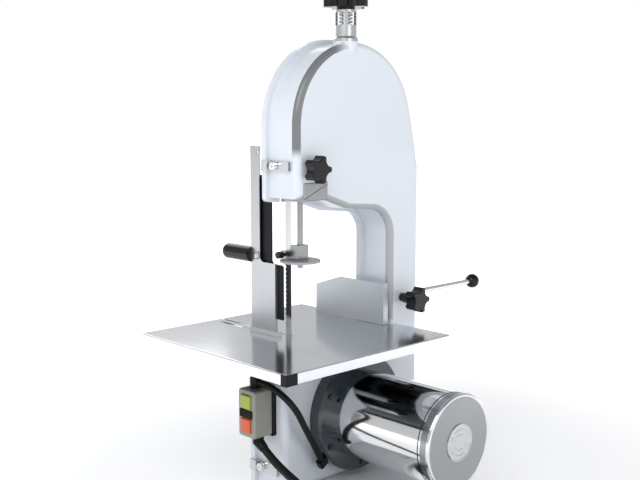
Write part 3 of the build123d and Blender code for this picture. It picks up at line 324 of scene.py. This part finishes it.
def make_blade():
    """The endless blade, with a tooth at every second point of its path."""
    bm = bmesh.new()
    rings = []
    for k, (x, z, nx, nz) in enumerate(blade_path(TOOTH_PITCH / 2)):
        front = blade_high.y - (0 if k % 2 else TOOTH_DEPTH)
        corners = ((blade_low.y, -1), (blade_low.y, 1), (front, 1), (front, -1))
        rings.append([bm.verts.new((x + side * nx * THICK / 2, y, z + side * nz * THICK / 2))
                      for y, side in corners])
    for k, here in enumerate(rings):
        there = rings[(k + 1) % len(rings)]
        for i in range(4):
            j = (i + 1) % 4
            bm.faces.new((here[i], here[j], there[j], there[i]))
    obj = finish_piece("toothed_blade", bm, LOOKS["blade_steel"], "frame",
                       smooth=False)
    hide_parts("blade")


make_blade()


# ---- motor trim ------------------------------------------------------------------------------
cap_low, cap_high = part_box("motor_end_cap")
MOTOR = ((cap_low.x + cap_high.x) / 2, (cap_low.z + cap_high.z) / 2)
CAP_Y = cap_low.y


BADGE_R, BADGE_THICK, BADGE_HOLE = 32, 1.2 * MM, 0.1   # radii in mm
RIDGES, RIDGE_RISE, EDGE_RISE = (12, 21), 0.6 * MM, 0.7 * MM
SINK = 0.2 * MM                                        # how deep a trim piece sits in its neighbour


def make_badge():
    """A plain ring badge, turned with three ridges."""
    face, back = CAP_Y - BADGE_THICK, CAP_Y + SINK
    profile = [(BADGE_HOLE, back), (BADGE_HOLE, face)]
    for r in RIDGES:
        profile += [(r, face), (r + 0.6, face - RIDGE_RISE), (r + 1.6, face - RIDGE_RISE),
                    (r + 2.2, face)]
    profile += [(BADGE_R - 3, face), (BADGE_R - 2.4, face - EDGE_RISE),
                (BADGE_R - 0.8, face - EDGE_RISE), (BADGE_R, face + SINK), (BADGE_R, back)]
    profile = [(r * MM, y) for r, y in profile]
    bm = bmesh.new()
    lathe(bm, profile, MOTOR)
    finish_piece("cap_badge", bm, LOOKS["aluminium"], "frame", smooth=False)


def make_cap_rim():
    """The polished rolled rim of the end cap, and the dark joint between the cap and the tube."""
    outer = (cap_high.x - cap_low.x) / 2
    middle_r, middle_y, r, sides = outer - 3.2 * MM, CAP_Y + 3.6 * MM, 3.9 * MM, 20
    angles = [2 * math.pi * k / sides for k in range(sides)]
    bm = bmesh.new()
    lathe(bm, [(middle_r + r * math.cos(a), middle_y + r * math.sin(a)) for a in angles], MOTOR)
    finish_piece("cap_rim", bm, LOOKS["bright_steel"], "frame")
    near, far = cap_high.y + SINK, cap_high.y + SINK + 1.4 * MM
    inner_r, outer_r = outer - 2.0 * MM, outer - 1.1 * MM
    bm = bmesh.new()
    lathe(bm, [(inner_r, near), (outer_r, near), (outer_r, far), (inner_r, far)], MOTOR)
    finish_piece("cap_joint", bm, LOOKS["black_rubber"], "frame")


make_badge()
make_cap_rim()


# ---- table corner and switch trim ------------------------------------------------------------
def make_corner_cap():
    """The black moulding that wraps the front corner of the table's rim."""
    low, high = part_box("table_top")
    t, long_side, short_side = 2 * MM, 22 * MM, 11 * MM
    outline = [(low.x - t, low.y - t), (low.x + long_side, low.y - t), (low.x + long_side, low.y),
               (low.x, low.y), (low.x, low.y + short_side), (low.x - t, low.y + short_side)]
    bm = bmesh.new()
    prism(bm, outline, low.z - 1 * MM, high.z + 0.4 * MM, lambda u, v, w: (u, v, w))
    finish_piece("table_corner_cap", bm, LOOKS["black_nylon"], "frame",
                 bevel=0.7 * MM)


def make_switch_strip():
    """The ribbed black strip between the two buttons."""
    low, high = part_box("switch_box")
    margin, half, ribs, pitch = 6 * MM, 7, 4, 3.2
    middle = (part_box("stop_button")[1].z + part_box("start_button")[0].z) / 2
    outline = [(-half, 0), (-half, 2)]             # along the strip and out of the box, in mm
    for k in range(ribs):
        z = pitch * k - 6
        outline += [(z, 3), (z + 1.9, 3), (z + 2.3, 2.2)]
    outline += [(half, 2), (half, 0)]
    bm = bmesh.new()
    prism(bm, [(u * MM, v * MM) for u, v in outline], low.y + margin, high.y - margin,
          lambda u, v, w: (low.x - v + SINK, w, middle + u))
    finish_piece("switch_strip", bm, LOOKS["black_nylon"], "frame",
                 bevel=0.3 * MM, smooth=False)


make_corner_cap()
make_switch_strip()


# ---- cables ----------------------------------------------------------------------------------
MOTOR_ROUTE = [
    (-0.195, 0.054, 0.233),
    (-0.195, 0.035, 0.233),
    (-0.192, 0.017, 0.228),
    (-0.186, 0.002, 0.218),
    (-0.178, -0.009, 0.2045),
    (-0.169, -0.0145, 0.189),
    (-0.158, -0.014, 0.170),
    (-0.1415, -0.0105, 0.1455),
    (-0.1225, -0.0065, 0.1175),
    (-0.1035, -0.002, 0.0885),
]
MAINS_ROUTE = [
    (-0.199, 0.038, 0.121),
    (-0.199, 0.018, 0.1085),
    (-0.200, -0.015, 0.095),
    (-0.202, -0.060, 0.082),
    (-0.205, -0.110, 0.060),
    (-0.207, -0.150, 0.040),
]
MOTOR_CORD_R, LEAD_R = 5.75 * MM, 0.007
COIL, COIL_R, TURNS, TURN_POINTS = (-0.130, -0.205), 0.077, 3, 16
TIE_TURN, TIE_WIDTH, TIE_THICK, TIE_GAP = math.radians(250), 8 * MM, 1.2 * MM, 0.6 * MM


def coil_points():
    """The turns of the coil, from its top down to the floor, and the short way to the plug."""
    start, count = math.pi, int((TURNS + 0.25) * TURN_POINTS)
    reach = COIL_R / math.cos(math.pi / TURN_POINTS) ** 0.5
    for k in range(count + 1):
        a = start + 2 * math.pi * k / TURN_POINTS
        fall = min(1.0, max(0.0, (k - 2) / (count - 6)))
        z = LEAD_R * (2 * TURNS - 1) - 2 * LEAD_R * (TURNS - 1) * fall
        yield (COIL[0] + reach * math.cos(a), COIL[1] + reach * math.sin(a), z)


def make_cord(name, points, radius):
    """A cord as one smooth spline."""
    curve = bpy.data.curves.new(name, "CURVE")
    curve.dimensions = "3D"
    curve.bevel_depth = radius
    curve.bevel_resolution = 6
    curve.use_fill_caps = True
    spline = curve.splines.new("NURBS")
    spline.points.add(len(points) - 1)
    for point, place in zip(spline.points, points):
        point.co = (*place, 1)
    spline.order_u = 3
    spline.use_endpoint_u = True
    spline.resolution_u = 8
    obj = bpy.data.objects.new(name, curve)
    bpy.context.scene.collection.objects.link(obj)
    curve.materials.append(LOOKS["black_rubber"])
    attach(obj, "frame")
    return obj


def make_tie():
    """A band round the turns of the coil."""
    inner, outer = COIL_R - LEAD_R - TIE_GAP, COIL_R + LEAD_R + TIE_GAP
    top = 2 * TURNS * LEAD_R + TIE_GAP
    out = Vector((math.cos(TIE_TURN), math.sin(TIE_TURN), 0))
    along = Vector((-math.sin(TIE_TURN), math.cos(TIE_TURN), 0))
    middle = Vector((*COIL, 0))
    loops = []
    for grow in (0.0, TIE_THICK):
        r0, r1, z0, z1 = inner - grow, outer + grow, 0.05 * MM, top + grow
        loops.append([(r0, z0), (r1, z0), (r1, z1), (r0, z1)])
    bm = bmesh.new()
    rings = [[[bm.verts.new(middle + out * r + along * w + Vector((0, 0, z))) for r, z in loop]
              for loop in loops] for w in (-TIE_WIDTH / 2, TIE_WIDTH / 2)]
    for i in range(4):
        j = (i + 1) % 4
        bm.faces.new((rings[0][0][i], rings[0][0][j], rings[1][0][j], rings[1][0][i]))
        bm.faces.new((rings[0][1][i], rings[0][1][j], rings[1][1][j], rings[1][1][i]))
        for side in rings:
            bm.faces.new((side[0][i], side[0][j], side[1][j], side[1][i]))
    return finish_piece("coil_tie", bm, LOOKS["black_nylon"], "frame",
                        bevel=0.4 * MM)


def make_cords():
    """The motor's cable, and the mains lead with its coil, its tie and its plug."""
    motor = make_cord("motor_cord", MOTOR_ROUTE, MOTOR_CORD_R)
    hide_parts("motor_cable")
    plug_low, plug_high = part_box("mains_plug")
    plug_end = (plug_low.x, COIL[1] - COIL_R, (plug_low.z + plug_high.z) / 2)
    route = MAINS_ROUTE + list(coil_points())[1:] + [plug_end]
    mains = make_cord("mains_cord", route, LEAD_R)
    tie = make_tie()
    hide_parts("mains_lead", "mains_coil")


make_cords()


# ---- stage: floor, light and camera ----------------------------------------------------------
FLOOR_SIZE, FLOOR_DROP = 14, 0.5 * MM       # half the floor's side in metres, its gap to the feet
GLOW_REACH, GLOW_RANGE = (0.4, 1.8), (0.30, 1.05)
ROOM_STRENGTH, MIDDLE_HEIGHT = 0.62, 0.35
LIGHTS_AIM = Vector((0, 0, 0.4))
CAMERA_PLACE = (-1.19965, -1.14568, 0.6802)
CAMERA_TURN, CAMERA_TILT = math.radians(43.728), math.radians(7.358)
FOCAL_LENGTH, SENSOR_WIDTH = 52.92, 36      # in mm


def make_floor_look():
    """Matt white that glows like a lit sweep, faintly under the object and fully far from it."""
    mat = surface("floor_white", (0.93, 0.93, 0.93), 0.7, colour_var=0.01, bump=0.0)
    nodes, links = mat.node_tree.nodes, mat.node_tree.links
    place = nodes.new("ShaderNodeTexCoord")
    reach = nodes.new("ShaderNodeVectorMath")
    reach.operation = "LENGTH"
    links.new(place.outputs["Object"], reach.inputs[0])
    glow = nodes.new("ShaderNodeMapRange")
    glow.interpolation_type = "SMOOTHSTEP"
    glow.inputs["From Min"].default_value, glow.inputs["From Max"].default_value = GLOW_REACH
    glow.inputs["To Min"].default_value, glow.inputs["To Max"].default_value = GLOW_RANGE
    links.new(reach.outputs["Value"], glow.inputs["Value"])
    shader = nodes["Principled BSDF"]
    shader.inputs["Emission Color"].default_value = (1, 1, 1, 1)
    links.new(glow.outputs["Result"], shader.inputs["Emission Strength"])
    return mat


def make_floor():
    bm = bmesh.new()
    bmesh.ops.create_grid(bm, x_segments=1, y_segments=1, size=FLOOR_SIZE)
    mesh = bpy.data.meshes.new("floor")
    bm.to_mesh(mesh)
    bm.free()
    floor = bpy.data.objects.new("floor", mesh)
    floor.location.z = cad_box[0][2] - FLOOR_DROP
    bpy.context.scene.collection.objects.link(floor)
    mesh.materials.append(make_floor_look())


def soft_light(name, place, size, energy):
    """A rectangular soft light, aimed at LIGHTS_AIM."""
    lamp = bpy.data.lights.new(name, "AREA")
    lamp.shape = "RECTANGLE"
    lamp.size, lamp.size_y = size
    lamp.energy = energy
    obj = bpy.data.objects.new(name, lamp)
    obj.location = place
    obj.rotation_euler = (LIGHTS_AIM - Vector(place)).to_track_quat("-Z", "Y").to_euler()
    bpy.context.scene.collection.objects.link(obj)


def make_world():
    """White to the camera, and to everything else a pale studio that gets darker overhead."""
    world = bpy.data.worlds.new("studio")
    bpy.context.scene.world = world
    world.use_nodes = True
    nodes, links = world.node_tree.nodes, world.node_tree.links
    nodes.clear()
    place = nodes.new("ShaderNodeTexCoord")
    split = nodes.new("ShaderNodeSeparateXYZ")
    links.new(place.outputs["Generated"], split.inputs[0])
    ramp = nodes.new("ShaderNodeValToRGB")
    stops = ramp.color_ramp.elements
    stops[0].position, stops[0].color = 0.0, (1.0, 1.0, 1.0, 1)
    stops[1].position, stops[1].color = 1.0, (0.30, 0.31, 0.33, 1)
    middle = stops.new(MIDDLE_HEIGHT)
    middle.color = (0.95, 0.96, 0.98, 1)
    links.new(split.outputs["Z"], ramp.inputs[0])
    room = nodes.new("ShaderNodeBackground")
    room.inputs["Strength"].default_value = ROOM_STRENGTH
    links.new(ramp.outputs[0], room.inputs[0])
    white = nodes.new("ShaderNodeBackground")
    white.inputs[0].default_value = (1, 1, 1, 1)
    white.inputs["Strength"].default_value = 1.0
    path = nodes.new("ShaderNodeLightPath")
    pick = nodes.new("ShaderNodeMixShader")
    links.new(path.outputs["Is Camera Ray"], pick.inputs[0])
    links.new(room.outputs[0], pick.inputs[1])
    links.new(white.outputs[0], pick.inputs[2])
    out = nodes.new("ShaderNodeOutputWorld")
    links.new(pick.outputs[0], out.inputs[0])


def make_camera():
    """A camera that looks along CAMERA_TURN from +Y towards +X, tilted down by CAMERA_TILT."""
    level = math.cos(CAMERA_TILT)
    look = Vector((math.sin(CAMERA_TURN) * level, math.cos(CAMERA_TURN) * level,
                   -math.sin(CAMERA_TILT)))
    lens = bpy.data.cameras.new("camera")
    lens.lens = FOCAL_LENGTH
    lens.sensor_width = SENSOR_WIDTH
    camera = bpy.data.objects.new("camera", lens)
    camera.location = CAMERA_PLACE
    camera.rotation_euler = look.to_track_quat("-Z", "Y").to_euler()
    bpy.context.scene.collection.objects.link(camera)
    bpy.context.scene.camera = camera


make_floor()
make_world()
soft_light("key", place=(-1.6, -0.6, 1.9), size=(1.4, 1.4), energy=20)
soft_light("front", place=(-0.2, -2.2, 1.2), size=(1.2, 1.6), energy=6)
soft_light("back", place=(0.6, 2.2, 1.6), size=(1.6, 1.2), energy=12)
make_camera()
bpy.context.scene.view_settings.view_transform = "Standard"
